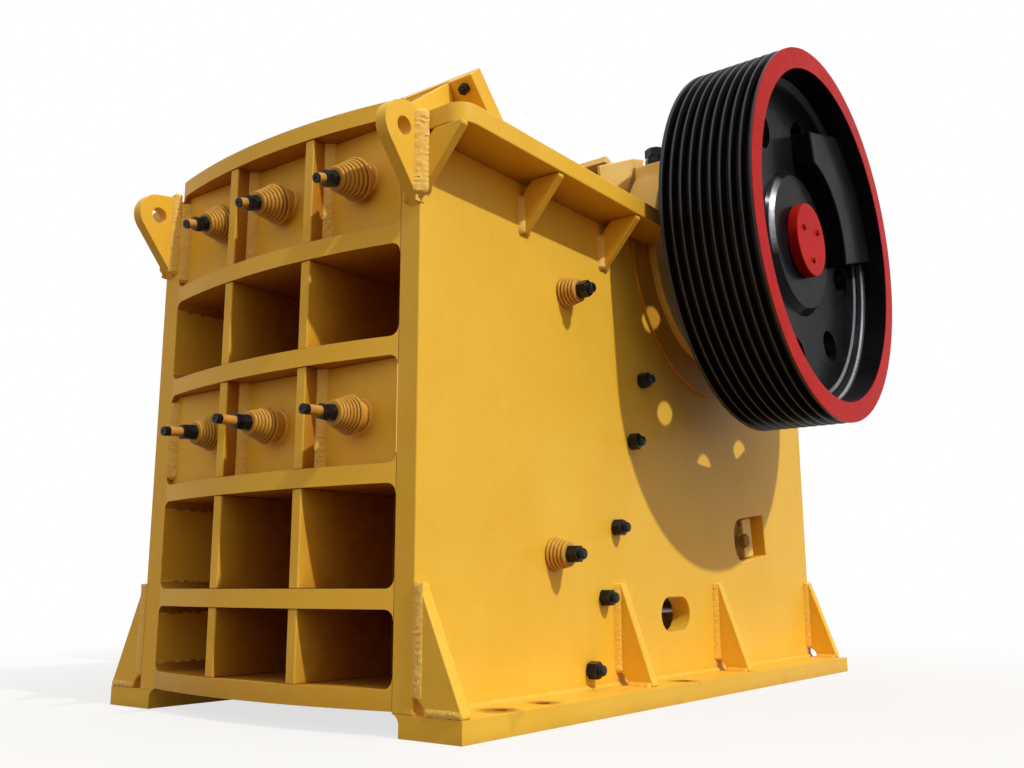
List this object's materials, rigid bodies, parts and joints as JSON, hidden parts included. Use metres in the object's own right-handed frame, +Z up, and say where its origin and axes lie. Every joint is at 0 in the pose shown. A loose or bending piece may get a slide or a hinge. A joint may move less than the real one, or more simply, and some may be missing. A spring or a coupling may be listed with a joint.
{
  "type": "jaw crusher",
  "caption": "Large single-toggle rock crusher with a welded ribbed frame, a toothed jaw pair and a belt-driven eccentric shaft with dished wheels.",
  "frame": {"origin": "centre of the rectangle of the four front anchor holes, in the plane of the base rails' underside", "axes": "+Z up, +X from the ribbed fixed-jaw front towards the toggle and discharge end, Y across the machine with the belt pulley on the -Y side"},
  "size_m": [3.145, 2.332, 2.42],
  "materials": {
    "frame_paint": "satin",
    "housing_paint": "satin",
    "rough_casting": "matte",
    "wear_iron": "matte",
    "bare_steel": "satin",
    "black_bolts": "satin",
    "spring_paint": "satin",
    "wheel_iron": "satin",
    "red_paint": "satin"
  },
  "bodies": {
    "frame": {"base_rail_near": "frame_paint", "base_rail_far": "frame_paint", "side_wall_near": "frame_paint", "side_wall_far": "frame_paint", "top_flanges": "frame_paint", "base_gussets": "frame_paint", "flange_gussets": "frame_paint", "bearing_rings": "frame_paint", "front_ribs": "frame_paint", "front_webs": "frame_paint", "tie_plates": "frame_paint", "front_wall": "frame_paint", "rear_beam": "frame_paint", "rod_bracket": "frame_paint", "lifting_lugs": "frame_paint", "feed_lip": "frame_paint", "lip_supports": "frame_paint", "bearing_seat_near": "housing_paint", "bearing_seat_far": "housing_paint", "bearing_cap_near": "housing_paint", "bearing_cap_far": "housing_paint", "jaw_guard": "housing_paint", "swing_jaw": "rough_casting", "toggle_block": "rough_casting", "fixed_jaw_plate": "wear_iron", "swing_jaw_plate": "wear_iron", "cheek_plates": "wear_iron", "jaw_clamp_bar": "wear_iron", "toggle_plate": "bare_steel", "shim_plates": "bare_steel", "tension_rod": "bare_steel", "cap_bolts": "black_bolts", "front_tie_bolts": "black_bolts", "side_spring_bolts": "black_bolts", "cheek_bolts": "black_bolts", "front_tie_springs": "spring_paint", "side_springs": "spring_paint", "tension_spring": "spring_paint"},
    "drive": {"eccentric_shaft": "bare_steel", "belt_pulley": "wheel_iron", "flywheel": "wheel_iron", "pulley_weight": "wheel_iron", "flywheel_weight": "wheel_iron", "hub_caps": "red_paint"}
  },
  "joints": [
    {"name": "drive_spin", "type": "hinge", "parent": "frame", "child": "drive", "pos_m": [1.3815, 0, 1.699], "axis": [0, 1, 0], "continuous": true}
  ]
}
